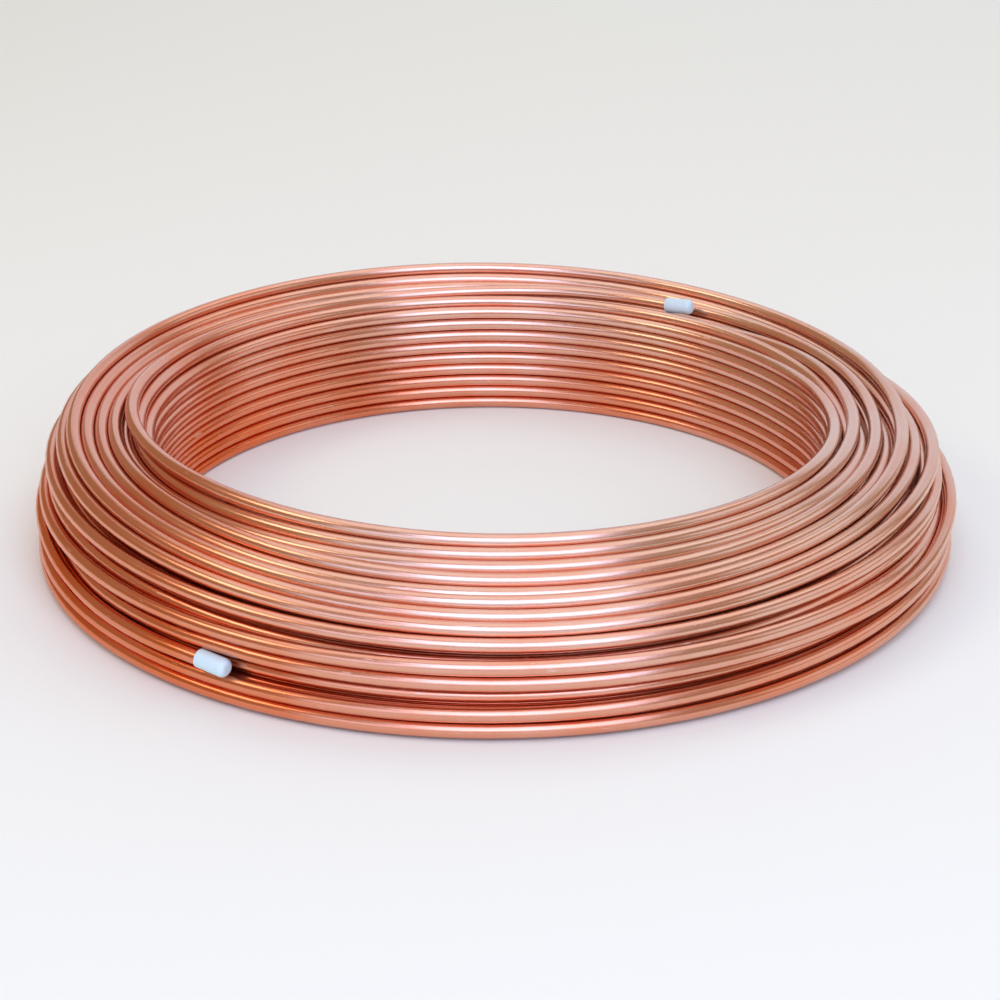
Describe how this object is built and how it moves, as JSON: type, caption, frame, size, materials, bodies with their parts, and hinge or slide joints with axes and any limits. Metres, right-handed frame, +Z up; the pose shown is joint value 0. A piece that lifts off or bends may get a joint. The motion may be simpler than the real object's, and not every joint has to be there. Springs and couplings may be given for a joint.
{
  "type": "copper tube coil",
  "caption": "Coil of soft copper tube, wound in nested layers into a flat ring with an open bore, with a push-on cap on each end of the tube.",
  "frame": {"origin": "centre of the ring at floor level", "axes": "+Z up along the ring's axis; the picture looks along +Y, with +X to its right"},
  "size_m": [0.4206, 0.4206, 0.0706],
  "materials": {
    "copper": "bright drawn copper, soft sheen",
    "cap_plastic": "pale moulded polyethylene"
  },
  "bodies": {
    "root": {"copper_tube": "copper", "inner_end_cap": "cap_plastic", "outer_end_cap": "cap_plastic"}
  },
  "joints": []
}
